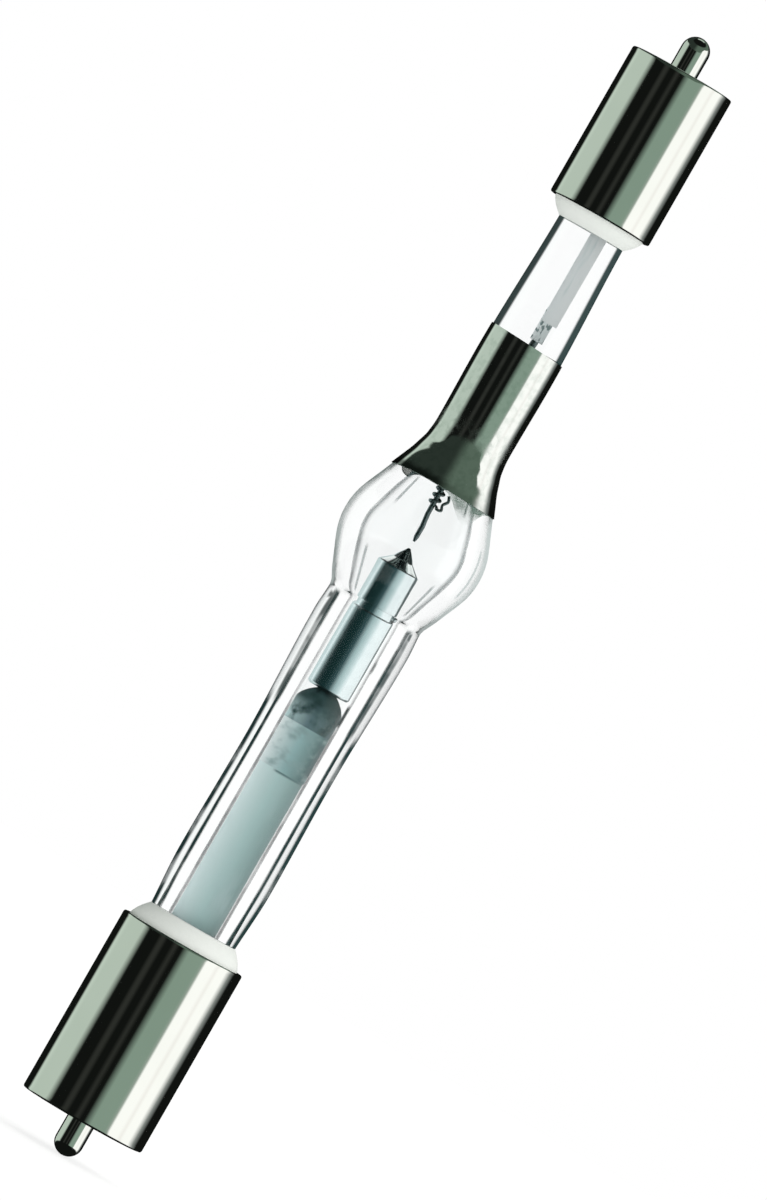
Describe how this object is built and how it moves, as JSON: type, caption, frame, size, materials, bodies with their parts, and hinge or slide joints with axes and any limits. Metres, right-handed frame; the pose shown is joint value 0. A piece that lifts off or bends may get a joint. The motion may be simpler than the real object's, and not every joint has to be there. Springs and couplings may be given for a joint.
{
  "type": "short arc lamp",
  "caption": "Short arc discharge lamp: quartz bulb on two shafts, pointed anode and thin wound cathode, cylindrical plated bases with domed contact pins.",
  "frame": {"origin": "centre of the anode base's flat end face, on the lamp's axis", "axes": "+Z along the lamp from the anode base to the cathode base, +X to the right and +Y away from a viewer who faces the lamp as in the picture"},
  "size_m": [0.0102, 0.0102, 0.0852],
  "materials": {
    "quartz": "clear fused quartz, hand worked",
    "nickel_plating": "nickel plated brass, bright turned",
    "cement": "white base cement, matte",
    "tungsten": "ground tungsten, dark",
    "molybdenum": "molybdenum, satin",
    "solder": "soft solder, dull",
    "reflector": "metallic heat-reflecting coating, grey-green",
    "mercury": "liquid metal bead"
  },
  "bodies": {
    "root": {"quartz_envelope": "quartz", "reflector_coating": "reflector", "anode": "tungsten", "anode_collar": "molybdenum", "anode_weld_band": "molybdenum", "anode_foil": "molybdenum", "anode_seal_rod": "quartz", "anode_lead": "molybdenum", "anode_cement": "cement", "anode_base_shell": "nickel_plating", "anode_base_pin": "nickel_plating", "anode_solder": "solder", "cathode": "tungsten", "cathode_coil": "tungsten", "cathode_foil": "molybdenum", "cathode_lead": "molybdenum", "cathode_cement": "cement", "cathode_base_shell": "nickel_plating", "cathode_base_pin": "nickel_plating", "cathode_solder": "solder", "mercury_bead": "mercury"}
  },
  "joints": []
}
